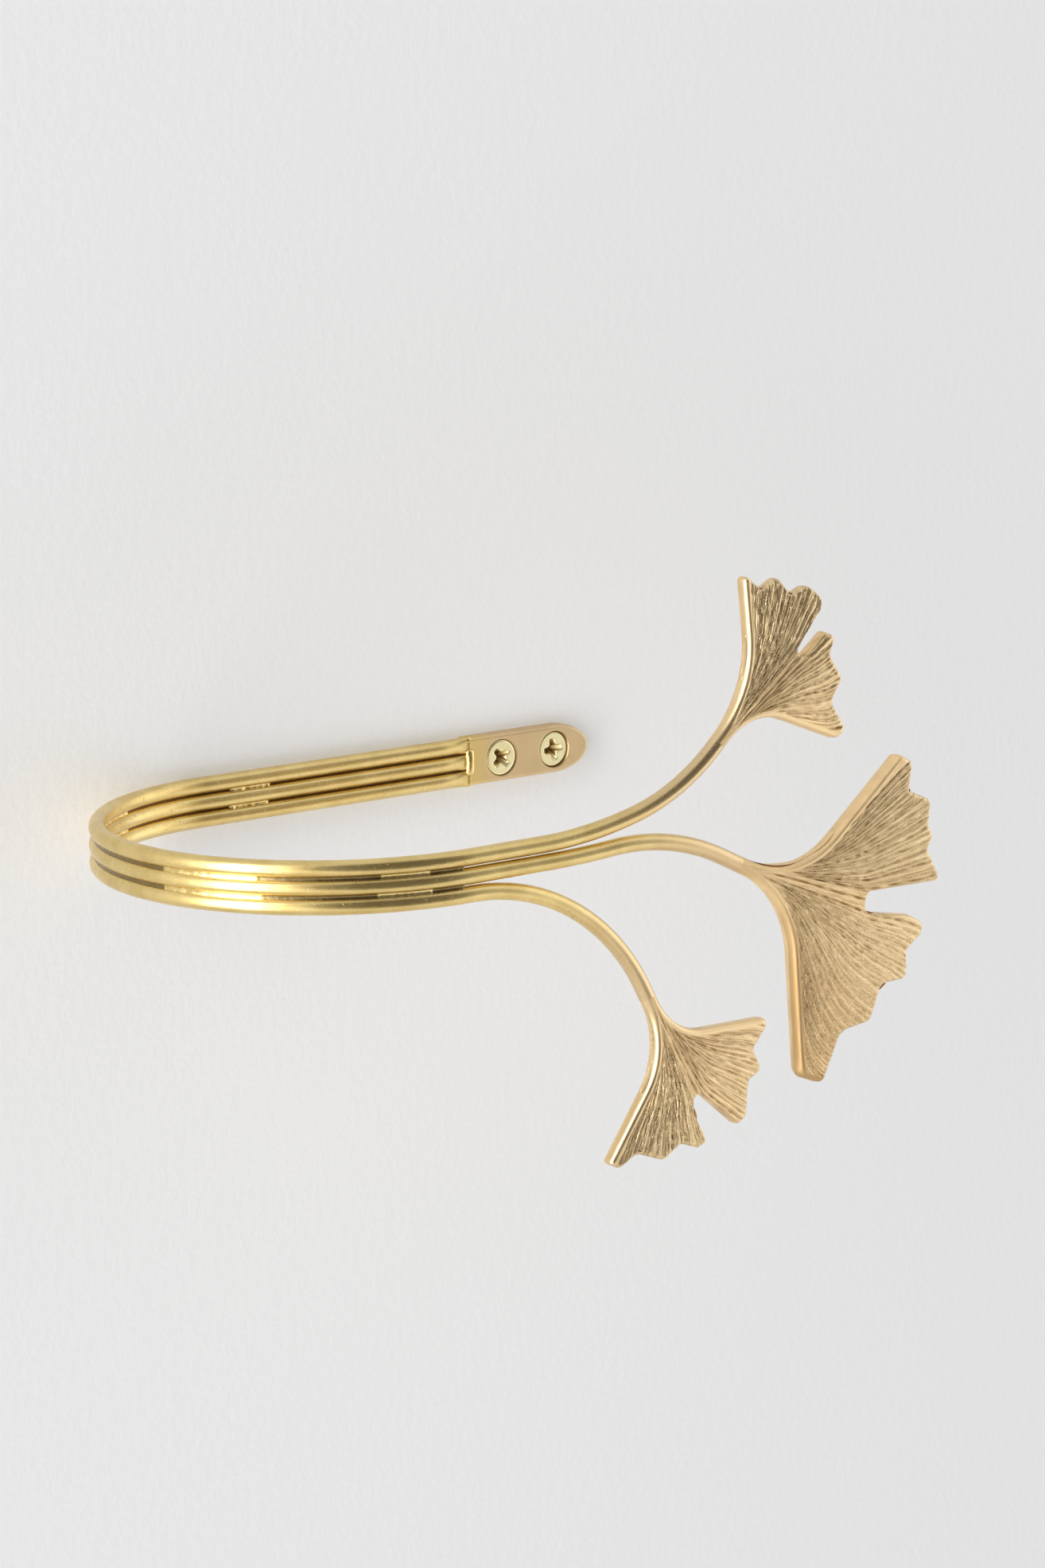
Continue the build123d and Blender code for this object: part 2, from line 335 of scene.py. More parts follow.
def grid_faces(rows, columns, wrap):
    """Quads over rows of points, closed round each row if it wraps."""
    across = columns if wrap else columns - 1
    row, column = np.meshgrid(np.arange(rows - 1), np.arange(across), indexing="ij")
    beside = (column + 1) % columns
    quads = [row * columns + column, row * columns + beside,
             (row + 1) * columns + beside, (row + 1) * columns + column]
    return np.stack(quads, axis=-1).reshape(-1, 4)


def tube_faces(rows, columns, start):
    """Faces over a tube of points from a start, with both ends closed."""
    ends = [list(range(columns))[::-1], list(range((rows - 1) * columns, rows * columns))]
    faces = grid_faces(rows, columns, True).tolist() + ends
    return [[corner + start for corner in face] for face in faces]


def joined_points(points, digits):
    """The points to keep where some agree to so many digits, and which one each becomes."""
    _, first, member = np.unique(np.round(points, digits), axis=0, return_index=True, return_inverse=True)
    return first, member.ravel()


def joined_faces(faces, member):
    """The faces between joined points, without those that close up."""
    cleaned = (list(dict.fromkeys(corners)) for corners in member[np.concatenate(faces)].tolist())
    return [face for face in cleaned if len(face) > 2]


def add_sheet(name, front, back, shapes, material, layers, uv=None):
    """A closed piece from matching front and back points over grids whose first rows are capped."""
    points = np.concatenate([front, back])
    faces, caps, start = [], [], 0
    for rows, columns in shapes:
        quads = grid_faces(rows, columns, False) + start
        faces += [quads, quads[:, ::-1] + len(front)]
        edge = np.arange(start, start + columns)
        rim = [edge[1:], edge[:-1], edge[:-1] + len(front), edge[1:] + len(front)]
        caps.append(np.stack(rim, axis=-1))
        start += rows * columns
    first, member = joined_points(points, 4)
    kept, ends = joined_faces(faces, member), joined_faces(caps, member)
    # The caps get points of their own, so that the shading doesn't bend round their edges.
    shared = sorted({corner for face in ends for corner in face})
    own = {corner: len(first) + index for index, corner in enumerate(shared)}
    ends = [[own[corner] for corner in face] for face in ends]
    chosen = np.concatenate([first, first[shared]])
    plain = np.zeros(len(back))
    layers = {layer: np.concatenate([values, plain])[chosen] for layer, values in layers.items()}
    uv = None if uv is None else np.concatenate([uv, uv])[chosen]
    add_piece(name, points[chosen], kept + ends, material, name, layers, uv)


# Materials: tones are linear colours, in pairs of dull and bright, noise scales are per metre and bump
# distances are in millimetres
ROD_TONE = (0.75, 0.57, 0.23)
ROD_TONES = ((0.70, 0.52, 0.20), (0.80, 0.62, 0.27))
STEM_TONE = (0.73, 0.55, 0.31)
PIT_BROWN = (0.25, 0.16, 0.06)
LEAF_TONES = ((0.82, 0.605, 0.33), (0.90, 0.685, 0.39))
STREAK_BROWN = (0.40, 0.24, 0.08)
VEIN_BROWN = (0.24, 0.13, 0.04)
# Painted shade towards a leaf's right tip, and a plain brown at the neck
DARKENING_BROWN = (0.50, 0.32, 0.14)
# Painted glints: a pale tone for specks of grain on the coarse lobes
GLINT_TONE = (1.0, 0.84, 0.55)
SIDE_TONE = (0.77, 0.59, 0.34)
PLATE_TONES = ((0.69, 0.51, 0.28), (0.74, 0.55, 0.31))
# Painted shade in the gap round each screw head
SEAT_SHADE = (0.22, 0.13, 0.05)
SCREW_TONES = ((0.92, 0.81, 0.45), (0.97, 0.88, 0.53))
# Painted shade inside a screw's recess
RECESS_SHADE = (0.34, 0.19, 0.05)
FILLER_TONES = ((0.72, 0.53, 0.18), (0.88, 0.70, 0.34))
# Painted shade for the open grooves between the rods
GROOVE_SHADE = (0.10, 0.055, 0.02)
PAINT_TONES = ((0.895, 0.908, 0.924), (0.905, 0.918, 0.934))
WHITE = (1.0, 1.0, 1.0)

# The parts of a noise's range that tones and roughness are spread over
TONE_RANGE = (0.35, 0.65)
ROUGH_RANGE = (0.3, 0.7)


class Nodes:
    """The nodes of a material or a world."""

    def __init__(self, tree):
        self.all = tree.nodes
        self.links = tree.links

    def feed(self, socket, value):
        """Links a node's output to a socket, or sets it to a number or a colour."""
        if isinstance(value, bpy.types.NodeSocket):
            self.links.new(value, socket)
        elif socket.type == "RGBA":
            socket.default_value = (*value, 1.0)
        else:
            socket.default_value = value

    def fill(self, node, inputs):
        for name, value in inputs.items():
            self.feed(node.inputs[name], value)
        return node

    def add(self, kind, inputs=None):
        return self.fill(self.all.new("ShaderNode" + kind), inputs or {})

    def layer(self, name):
        node = self.add("Attribute")
        node.attribute_name = name
        return node.outputs["Fac"]

    def noise(self, scale, detail=3.0, roughness=0.55, vector=None):
        """A noise over the object's own frame, or over another vector."""
        vector = self.add("TexCoord").outputs["Object"] if vector is None else vector
        inputs = {"Vector": vector, "Scale": scale, "Detail": detail, "Roughness": roughness}
        return self.add("TexNoise", inputs).outputs["Fac"]

    def streaks(self, scale, detail=3.0, roughness=0.55):
        """A noise over the UVs, scaled along and across."""
        node = self.add("UVMap")
        node.uv_map = "along"
        scaled = self.add("Mapping", {"Vector": node.outputs["UV"], "Scale": (*scale, 1.0)})
        return self.noise(1.0, detail, roughness, scaled.outputs["Vector"])

    def spread(self, value, low, high, out_low=0.0, out_high=1.0):
        inputs = {"Value": value, "From Min": low, "From Max": high, "To Min": out_low, "To Max": out_high}
        return self.add("MapRange", inputs).outputs["Result"]

    def maths(self, operation, first, second):
        node = self.add("Math", {0: first, 1: second})
        node.operation = operation
        return node.outputs[0]

    def times(self, first, second):
        return self.maths("MULTIPLY", first, second)

    def mix(self, share, first, second):
        """A mix of two colours or outputs."""
        node = self.add("Mix")
        node.data_type = "RGBA"
        return self.fill(node, {"Factor": share, 6: first, 7: second}).outputs[2]

    def tones(self, blotches, dull, bright):
        return self.mix(self.spread(blotches, *TONE_RANGE), dull, bright)

    def bump(self, shader, height, distance, strength, under=None):
        """Bumps on a shader, over those of an earlier bump if one is given."""
        node = self.add("Bump", {"Height": height, "Distance": distance * MM, "Strength": strength})
        if under is not None:
            self.feed(node.inputs["Normal"], under)
        self.feed(shader.inputs["Normal"], node.outputs["Normal"])
        return node.outputs["Normal"]


def new_material(name, metallic=1.0):
    material = bpy.data.materials.new(name)
    material.use_nodes = True
    nodes = Nodes(material.node_tree)
    shader = nodes.all["Principled BSDF"]
    shader.inputs["Metallic"].default_value = metallic
    return material, nodes, shader


def rod_brass():
    """Satin drawn brass: streaks along the rod, a few pits, warmer towards the leaves."""
    material, nodes, shader = new_material("rod_brass")
    streaks = nodes.streaks((6.0, 90.0))
    blotches = nodes.noise(160.0, detail=4.0)
    pits = nodes.spread(nodes.noise(1900.0, detail=2.0), 0.66, 0.74)
    matte = nodes.layer("matte")
    tone = nodes.tones(blotches, *ROD_TONES)
    tone = nodes.mix(nodes.layer("warmth"), tone, STEM_TONE)
    tone = nodes.mix(matte, tone, ROD_TONE)
    tone = nodes.mix(nodes.times(pits, 0.5), tone, PIT_BROWN)
    rough = nodes.spread(streaks, *ROUGH_RANGE, 0.25, 0.34)
    rough = nodes.maths("ADD", rough, nodes.times(matte, 0.12))
    nodes.fill(shader, {"Base Color": tone, "Roughness": rough})
    under = nodes.bump(shader, streaks, distance=0.008, strength=0.4)
    nodes.bump(shader, pits, distance=-0.05, strength=0.6, under=under)
    return material


def leaf_brass():
    """Cast brass: brown in the veins, streaked and grainy on the face with painted glints on the grain and
    painted shade on the right tip, polished on the sides.
    """
    material, nodes, shader = new_material("leaf_brass")
    blotches = nodes.noise(220.0, detail=4.0)
    grain = nodes.noise(2600.0, roughness=0.7)
    streaks = nodes.streaks((1.6, 16.0), detail=4.0, roughness=0.6)
    polish, face = nodes.layer("polish"), nodes.layer("face")
    coarse = nodes.times(nodes.layer("grain"), face)
    streak = nodes.times(nodes.spread(streaks, 0.40, 0.56, 1.0, 0.0), face)
    # The grain is real; the pale specks laid on it are painted glints
    grain_glints = nodes.times(nodes.spread(grain, 0.46, 0.66, 0.0, 0.8), coarse)
    tone = nodes.tones(blotches, *LEAF_TONES)
    tone = nodes.mix(nodes.times(streak, 0.4), tone, STREAK_BROWN)
    tone = nodes.mix(nodes.times(nodes.layer("groove"), 0.64), tone, VEIN_BROWN)
    # Painted shade towards the right tip, and a plain brown at the neck
    tone = nodes.mix(nodes.layer("tip_shade"), tone, DARKENING_BROWN)
    tone = nodes.mix(grain_glints, tone, GLINT_TONE)
    tone = nodes.mix(polish, tone, SIDE_TONE)
    rough = nodes.spread(blotches, *ROUGH_RANGE, 0.34, 0.44)
    rough = nodes.maths("SUBTRACT", rough, nodes.times(polish, 0.12))
    rough = nodes.maths("SUBTRACT", rough, nodes.times(coarse, 0.12))
    nodes.fill(shader, {"Base Color": tone, "Roughness": rough})
    height = nodes.times(grain, nodes.spread(coarse, 0.0, 1.0, 0.3, 0.75))
    height = nodes.maths("SUBTRACT", height, nodes.times(streak, 0.6))
    height = nodes.times(height, nodes.spread(polish, 0.0, 1.0, 1.0, 0.0))
    nodes.bump(shader, height, distance=0.12, strength=0.8)
    return material


def plate_brass():
    """Matte blasted brass, golden by the rods, with painted shade in the gap round each screw."""
    material, nodes, shader = new_material("plate_brass")
    blotches = nodes.noise(240.0, detail=4.0)
    grain = nodes.noise(3600.0, detail=2.0, roughness=0.6)
    tone = nodes.tones(blotches, *PLATE_TONES)
    tone = nodes.mix(nodes.layer("golden"), tone, ROD_TONE)
    # The seat round each screw head is darkened with painted shade
    tone = nodes.mix(nodes.layer("seat"), tone, SEAT_SHADE)
    rough = nodes.spread(grain, *ROUGH_RANGE, 0.38, 0.48)
    nodes.fill(shader, {"Base Color": tone, "Roughness": rough})
    nodes.bump(shader, grain, distance=0.02, strength=0.5)
    return material


def screw_brass():
    """Polished brass, with painted shade darkening the recess."""
    material, nodes, shader = new_material("screw_brass")
    blotches = nodes.noise(500.0)
    tone = nodes.tones(blotches, *SCREW_TONES)
    # The deeper in the recess, the more painted shade
    tone = nodes.mix(nodes.layer("recess"), tone, RECESS_SHADE)
    rough = nodes.spread(blotches, *ROUGH_RANGE, 0.28, 0.38)
    nodes.fill(shader, {"Base Color": tone, "Roughness": rough})
    nodes.bump(shader, blotches, distance=0.02, strength=0.5)
    return material


def filler_brass():
    """Filler metal: bright in a web, and near black in the open grooves, where it paints the shade between
    the rods.
    """
    material, nodes, shader = new_material("braze_brass")
    blotches = nodes.noise(900.0)
    bright = nodes.tones(blotches, *FILLER_TONES)
    # Unfilled groove lines take the painted groove shade
    tone = nodes.mix(nodes.layer("fill"), GROOVE_SHADE, bright)
    rough = nodes.spread(blotches, *ROUGH_RANGE, 0.16, 0.32)
    nodes.fill(shader, {"Base Color": tone, "Roughness": rough})
    nodes.bump(shader, blotches, distance=0.08, strength=0.6)
    return material


def wall_paint():
    """Pale paint with a fine rolled texture, seen from the room only."""
    material, nodes, shader = new_material("wall_paint", metallic=0.0)
    dabs = nodes.noise(420.0, detail=2.0, roughness=0.5)
    tone = nodes.mix(nodes.noise(3.0, detail=2.0), *PAINT_TONES)
    nodes.fill(shader, {"Base Color": tone, "Roughness": 0.85, "Specular IOR Level": 0.2})
    nodes.bump(shader, dabs, distance=0.17, strength=0.5)
    ray = nodes.add("LightPath")
    seen = nodes.maths("MAXIMUM", ray.outputs["Is Camera Ray"], ray.outputs["Is Glossy Ray"])
    nodes.fill(shader, {"Emission Color": WHITE, "Emission Strength": nodes.times(seen, WALL_LIFT)})
    behind = nodes.add("NewGeometry").outputs["Backfacing"]
    clear = nodes.add("BsdfTransparent").outputs[0]
    choice = nodes.add("MixShader", {0: behind, 1: shader.outputs[0], 2: clear})
    nodes.feed(nodes.all["Material Output"].inputs["Surface"], choice.outputs[0])
    return material


# Rods
Line = namedtuple("Line", "places tangents outs runs heading")


def rod_line(row, front_run, splay, tail):
    """A rod's centre line, with its tangents, outward normals, lengths and last heading."""
    level = row * ROD_PITCH
    bend_start = PLATE_START - WALL_RUN
    places, tangents, outs = [], [], []
    for run in np.linspace(0.0, WALL_RUN, WALL_STEPS, endpoint=False):
        places.append((PLATE_START - run, -ROD_RADIUS, level))
        tangents.append((-1.0, 0.0, 0.0))
        outs.append((0.0, 1.0, 0.0))
    for turn in np.radians(np.linspace(0.0, BEND_TURN, BEND_STEPS)):
        radial = np.array((-math.sin(turn), math.cos(turn), 0.0))
        places.append(np.array((bend_start, -ROD_RADIUS - BEND_RADIUS, level)) + BEND_RADIUS * radial)
        tangents.append((-math.cos(turn), -math.sin(turn), 0.0))
        outs.append(radial)
    heading = 0.0
    for radius, turn in [(None, front_run), *splay, (None, tail)]:
        start = np.array(places[-1])
        length = turn if radius is None else radius * math.radians(abs(turn))
        for run in np.linspace(0.0, length, max(2, int(length / STEM_STEP) + 1))[1:]:
            if radius is None:
                here = heading
                place = start + run * np.array((math.cos(heading), 0, math.sin(heading)))
            else:
                side = math.copysign(1.0, turn)
                here = heading + side * run / radius
                place = start + side * radius * np.array(
                    (math.sin(here) - math.sin(heading), 0, math.cos(heading) - math.cos(here)))
            places.append(place)
            tangents.append((math.cos(here), 0.0, math.sin(here)))
            outs.append((0.0, -1.0, 0.0))
        heading = here
    places, tangents, outs = (np.array(line, float) for line in (places, tangents, outs))
    return Line(places, tangents, outs, lengths_along(places), heading)


def rod_section(runs, radius, turns, pressed):
    """Offsets round a rod, outwards and upwards, pressed flat and square by the plate."""
    square = (1.0 - smooth(runs, 0.0, SQUARE_BLEND))[:, None]
    power = 2.0 / (2.0 + SQUARE_POWER * square)
    circle = (np.cos(turns)[None], np.sin(turns)[None])
    out, up = (np.sign(wave) * np.abs(wave) ** power for wave in circle)
    lost = (2 * ROD_RADIUS - PLATE_THICKNESS) * pressed[:, None]
    out = out * (radius[:, None] - np.where(out < 0, lost, 0.0))
    up = up * (radius[:, None] + (ROD_PITCH / 2.0 - ROD_RADIUS) * SQUARE_SPREAD * square)
    return out, up


def add_rod(name, material):
    """A rod, pressed flat by the plate, that ends a little inside its leaf; returns its stem's end."""
    line = rod_line(*RODS[name])
    past, shares = np.array(ROD_TAIL).T
    stem_end = line.places[-1]
    places = np.concatenate([line.places, stem_end + past[:, None] * line.tangents[-1]])
    runs = np.concatenate([line.runs, line.runs[-1] + past])
    outs, ups = (np.concatenate([axis, np.repeat(axis[-1:], len(past), axis=0)])
                 for axis in (line.outs, np.cross(line.outs, line.tangents)))
    radius = ROD_RADIUS * (1.0 - ROD_WOBBLE * (1.0 + waves(runs, *ROD_WAVES)))
    radius[[0, -1 - len(past)]] = ROD_RADIUS
    radius[-len(past):] = ROD_RADIUS * shares
    turns = np.linspace(0.0, FULL_TURN, ROD_SIDES + 1)
    pressed = 1.0 - smooth(runs, 0.0, PLATE_BLEND)
    out, up = rod_section(runs, radius, turns, pressed)
    points = places[:, None] + out[..., None] * outs[:, None] + up[..., None] * ups[:, None]
    rows, columns = out.shape
    faces = grid_faces(rows, columns, False).tolist()
    faces.append(list(range(columns - 1)))
    faces.append(list(range((rows - 1) * columns, rows * columns - 1))[::-1])
    warmth = 1.0 - smooth(runs[-1] - runs, *WARM_SPAN)
    layers = {"warmth": np.repeat(warmth, columns), "matte": np.repeat(pressed, columns)}
    uv = np.stack(np.broadcast_arrays(runs[:, None] / UV_UNIT, turns[None] / FULL_TURN), axis=-1)
    add_piece(name, points.reshape(-1, 3), faces, material, name, layers, uv.reshape(-1, 2))
    return stem_end, line.heading


# Leaves
Grid = namedtuple("Grid", "places rows columns veins reach grain")


def along(line, shares):
    """Points at shares of a polyline's length."""
    runs = lengths_along(line)
    places = np.asarray(shares) * runs[-1]
    return np.stack([np.interp(places, runs, line[:, axis]) for axis in (0, 1)], axis=-1)


def straight(start, end, shares):
    """Points at shares of the way between two points."""
    return start * (1 - shares[:, None]) + end * shares[:, None]


def rounded(corners, roundings):
    """A polyline with its inner corners rounded, and the index of each one's middle."""
    line, middles = [corners[0]], []
    for before, corner, after, radius in zip(corners, corners[1:], corners[2:], roundings):
        back, on = unit(before - corner), unit(after - corner)
        half = math.acos(np.clip(back @ on, -1.0, 1.0)) / 2.0
        inward = unit(back + on)
        centre = corner + inward * radius / math.sin(half)
        sweep = math.pi / 2.0 - half
        steps = 2 * max(2, round(sweep / math.radians(ARC_STEP)))
        axis = unit(back - (back @ inward) * inward)
        for turn in np.linspace(sweep, -sweep, steps + 1):
            line.append(centre + radius * (math.sin(turn) * axis - math.cos(turn) * inward))
        middles.append(len(line) - 1 - steps // 2)
    line.append(corners[-1])
    return np.array(line), middles


def side_line(side, tip, flare):
    """A leaf's side, from the stem to where its flare points at the tip."""
    start = np.array((NECK_LENGTH, side * NECK_WIDTH / 2.0))
    centre = start + np.array((0.0, side * flare))
    ahead, aside = tip[0] - centre[0], abs(tip[1]) - abs(centre[1])
    tangent = math.sqrt(ahead ** 2 + aside ** 2 - flare ** 2)
    turn = math.atan2(aside, ahead) + math.atan2(flare, tangent)
    turns = np.linspace(0.0, turn, SIDE_STEPS)
    arc = centre + flare * np.stack([np.sin(turns), -side * np.cos(turns)], axis=-1)
    return np.concatenate([[(0.0, side * ROD_RADIUS)], arc])


def leaf_outline(leaf):
    """The stretches of a leaf's outline, by name, about the stem's end."""
    reaches, angles, roundings = np.array(leaf["margin"]).T
    turns = np.radians(angles)
    corners = np.stack([reaches * np.cos(turns), reaches * np.sin(turns)], axis=-1)
    left = side_line(1.0, corners[0], leaf["flares"][0])
    right = side_line(-1.0, corners[-1], leaf["flares"][1])
    line, middles = rounded(np.concatenate([left[-1:], corners, right[-1:]]), roundings)
    left_tip, bottom, right_lobe, right_tip = leaf["splits"]
    splits = (left_tip, bottom - 1, bottom, bottom + 1, right_lobe, right_tip)
    cuts = [middles[corner] for corner in splits]
    names = ("left_margin", "left_wall", "base", "right_wall", "right_margin")
    outline = {name: line[start:end + 1] for name, start, end in zip(names, cuts, cuts[1:])}
    outline["rim"] = line[cuts[0]:cuts[-1] + 1]
    outline["left_side"] = np.concatenate([left[:-1], line[:cuts[0] + 1]])
    outline["right_side"] = np.concatenate([right[:-1], line[cuts[-1]:][::-1]])
    return outline


def patch(first, last, start, end, rows, columns):
    """A Coons patch, relaxed away from the stem: first and last run outwards, start and end across."""
    row, column = rows[:, None, None], columns[None, :, None]
    corners = ((1 - row) * (1 - column) * first[0] + (1 - row) * column * last[0]
               + row * (1 - column) * first[-1] + row * column * last[-1])
    places = ((1 - column) * first[:, None] + column * last[:, None]
              + (1 - row) * start[None] + row * end[None] - corners)
    row_share = (np.diff(rows)[:-1] / (rows[2:] - rows[:-2]))[:, None, None]
    column_share = (np.diff(columns)[:-1] / (columns[2:] - columns[:-2]))[None, :, None]
    relaxed = places.copy()
    for _ in range(RELAX_PASSES):
        along_rows = relaxed[:-2] * (1 - row_share) + relaxed[2:] * row_share
        along_columns = relaxed[:, :-2] * (1 - column_share) + relaxed[:, 2:] * column_share
        relaxed[1:-1, 1:-1] = 0.5 * (along_rows[:, 1:-1] + along_columns[1:-1])
    return places + (relaxed - places) * smooth(row, *RELAX_SPAN)


def leaf_grids(leaf, outline):
    """Grids over the left lobe, the strip below the notch and the right lobe, and their seams."""
    base = outline["base"]
    reach = np.linalg.norm(outline["left_wall"][0])
    notch = np.linalg.norm(base[0]) / reach
    inner = notch * (1.0 - (1.0 - np.linspace(0.0, 1.0, INNER_ROWS)) ** INNER_CROWD)
    rows = np.concatenate([inner, notch + (1.0 - notch) * crowded(OUTER_ROWS, *OUTER_CROWD)[1:]])
    columns = crowded(LOBE_COLUMNS, *LOBE_CROWD)
    left_stem, left_start, right_start, right_stem = (
        np.array((0.0, offset)) for offset in (ROD_RADIUS, SEAM_OFFSET, -SEAM_OFFSET, -ROD_RADIUS))
    step = np.clip(rows / notch, 0.0, 1.0)[:, None]
    left_seam = left_start + (base[0] - left_start) * step
    right_seam = right_start + (base[-1] - right_start) * step
    beyond = (rows > notch)[:, None]
    out = np.clip((rows - notch) / (1.0 - notch), 0.0, 1.0)
    left_inner = np.where(beyond, along(outline["left_wall"][::-1], out), left_seam)
    right_inner = np.where(beyond, along(outline["right_wall"], out), right_seam)
    left = patch(along(outline["left_side"], rows), left_inner,
                 straight(left_stem, left_start, columns), along(outline["left_margin"], columns),
                 rows, columns)
    right = patch(right_inner, along(outline["right_side"], rows),
                  straight(right_start, right_stem, columns), along(outline["right_margin"], columns),
                  rows, columns)
    strip_rows, strip_columns = inner / notch, np.linspace(0.0, 1.0, STRIP_COLUMNS)
    strip = patch(left_seam[:INNER_ROWS], right_seam[:INNER_ROWS],
                  straight(left_start, right_start, strip_columns), along(base, strip_columns),
                  strip_rows, strip_columns)
    grids = [Grid(left, rows, columns, leaf["veins"][0], reach, leaf["grain"][0]),
             Grid(strip, strip_rows, strip_columns, 1, reach * notch, 0.0),
             Grid(right, rows, columns, leaf["veins"][1], reach, leaf["grain"][1])]
    return grids, (left_seam, right_seam)


def mottle(grid):
    """Seeded lumps over a grid, from -1 to 1."""
    along_count, across_count = MOTTLE_CELLS
    lumps = chance.uniform(-1.0, 1.0, (along_count + 1, across_count + 1))
    row, column = grid.rows * along_count, grid.columns * across_count
    low_row = np.minimum(row.astype(int), along_count - 1)
    low_column = np.minimum(column.astype(int), across_count - 1)
    row_share = smooth(row - low_row, 0.0, 1.0)[:, None]
    column_share = smooth(column - low_column, 0.0, 1.0)
    upper, lower = (
        lumps[level][:, low_column] * (1 - column_share) + lumps[level][:, low_column + 1] * column_share
        for level in (low_row, low_row + 1))
    return upper * (1 - row_share) + lower * row_share


def vein_grooves(grid):
    """Groove depths: a few veins from the stem, and more that start between them further out."""
    widths = np.linalg.norm(np.gradient(grid.places, axis=1), axis=2) / np.gradient(grid.columns)[None]
    runs = grid.rows * grid.reach
    depth = np.zeros(widths.shape)
    for times, offset, start, deep, half in VEIN_FAMILIES:
        number = times * grid.veins
        deep = deep * (1.0 + GRAIN_DEEPENS * grid.grain)
        half = half * (1.0 + GRAIN_WIDENS * grid.grain)
        space = smooth(widths / number, VEIN_SPACE[0] * half, VEIN_SPACE[1] * half)
        jitter = chance.uniform(-VEIN_JITTER, VEIN_JITTER, number) / number
        for place in (np.arange(number) + 0.5 + offset) / number + jitter:
            begin = start + chance.uniform(*VEIN_STARTS) * start
            wander = place + VEIN_DRIFT / number * waves(runs, *VEIN_DRIFT_WAVES)
            ripple = 1.0 - VEIN_RIPPLE + VEIN_RIPPLE * waves(runs, *VEIN_RIPPLE_WAVES)
            fade = smooth(runs, begin, begin + VEIN_FADE) * ripple
            gap = (grid.columns[None] - wander[:, None]) * widths
            line = deep * chance.uniform(*VEIN_DEPTHS) * fade[:, None] * np.exp(-(gap / half) ** 2)
            depth = np.maximum(depth, line * space)
    return depth


def leaf_section(gap, grown, thickness):
    """The half thickness, and its share: a round neck that grows into a flat leaf with round rims."""
    half = ROD_RADIUS + (thickness / 2.0 - ROD_RADIUS) * grown
    edge = ROD_RADIUS + (EDGE_ROUND - ROD_RADIUS) * grown
    power = 2.0 + EDGE_POWER * grown
    share = (1.0 - (1.0 - np.clip(gap / edge, 0.0, 1.0)) ** power) ** (1.0 / power)
    return half * share, share


def leaf_bow(flat, base, tilt):
    """How far each point leans back from the crease between stem and notch."""
    spine = unit(base.mean(axis=0))
    off = flat[:, 1] * spine[0] - flat[:, 0] * spine[1]
    return -math.tan(math.radians(tilt)) * (np.sqrt(off ** 2 + CREASE_ROUND ** 2) - CREASE_ROUND)


def leaf_darkening(flat, grown, tip_shade):
    """How dark each point is: a plain brown at the neck, and painted shade towards the right tip."""
    angle = np.degrees(np.arctan2(-flat[:, 1], flat[:, 0]))
    tip = smooth(angle, *TIP_SHADE_SPAN) * smooth(flat[:, 0], NECK_BLEND, 2.0 * NECK_BLEND)
    return tip_shade * tip + NECK_BROWN * (1.0 - grown)


def leaf_uv(grids):
    """UVs that run along the veins, apart for each grid."""
    reach = grids[0].reach
    parts = []
    for index, grid in enumerate(grids):
        across = grid.columns * grid.veins / VEINS_PER_UV + LOBE_UV_SHIFT * index
        pair = np.meshgrid(grid.rows * reach / UV_UNIT, across, indexing="ij")
        parts.append(np.stack(pair, axis=-1).reshape(-1, 2))
    return np.concatenate(parts)


def add_leaf(name, leaf, stem, material):
    """A cast leaf: two veined lobes and the strip between them, below the notch."""
    outline = leaf_outline(leaf)
    grids, seams = leaf_grids(leaf, outline)
    flat = np.concatenate([grid.places.reshape(-1, 2) for grid in grids])
    side_gap = distance_to(flat, outline["left_side"], outline["right_side"])
    seam_gap = distance_to(flat, *seams)
    gap = np.minimum(side_gap, distance_to(flat, outline["rim"]))
    gap[gap < TOUCHING] = 0.0
    grown = smooth(flat[:, 0], 0.0, NECK_BLEND)
    half, share = leaf_section(gap, grown, leaf["thickness"])
    bow = leaf_bow(flat, outline["base"], leaf["tilt"])

    grooves = np.concatenate([vein_grooves(grid).ravel() for grid in grids])
    lumps = np.concatenate([grid.grain * mottle(grid).ravel() for grid in grids])
    grain = np.concatenate([np.full(grid.places.shape[:2], grid.grain).ravel() for grid in grids])
    face = smooth(side_gap, EDGE_ROUND, FACE_START)
    relief = face * smooth(seam_gap, 0.0, SEAM_FADE)
    grooves = grooves * relief
    front = bow + half - (grooves + GRAIN_DEPTH * (grain + lumps) * relief) * share ** 2
    back = bow - half

    origin, heading = stem
    forward = np.array((math.cos(heading), 0.0, math.sin(heading)))
    across = np.array((-math.sin(heading), 0.0, math.cos(heading)))
    room = np.array((0.0, -1.0, 0.0))
    spot = origin + flat[:, :1] * forward + flat[:, 1:] * across
    layers = {"groove": np.clip(grooves / (GROOVE_FULL + GRAIN_FULL * grain), 0.0, 1.0),
              "grain": grain,
              "face": face,
              # The darkening layer holds painted shade at the right tip and plain brown at the neck
              "tip_shade": leaf_darkening(flat, grown, leaf["tip_shade"]),
              "polish": leaf["shine"] * (1.0 - smooth(side_gap, EDGE_ROUND, POLISH_END))}
    add_sheet(name, spot + front[:, None] * room, spot + back[:, None] * room,
              [grid.places.shape[:2] for grid in grids], material, layers, leaf_uv(grids))


# Plate and screws

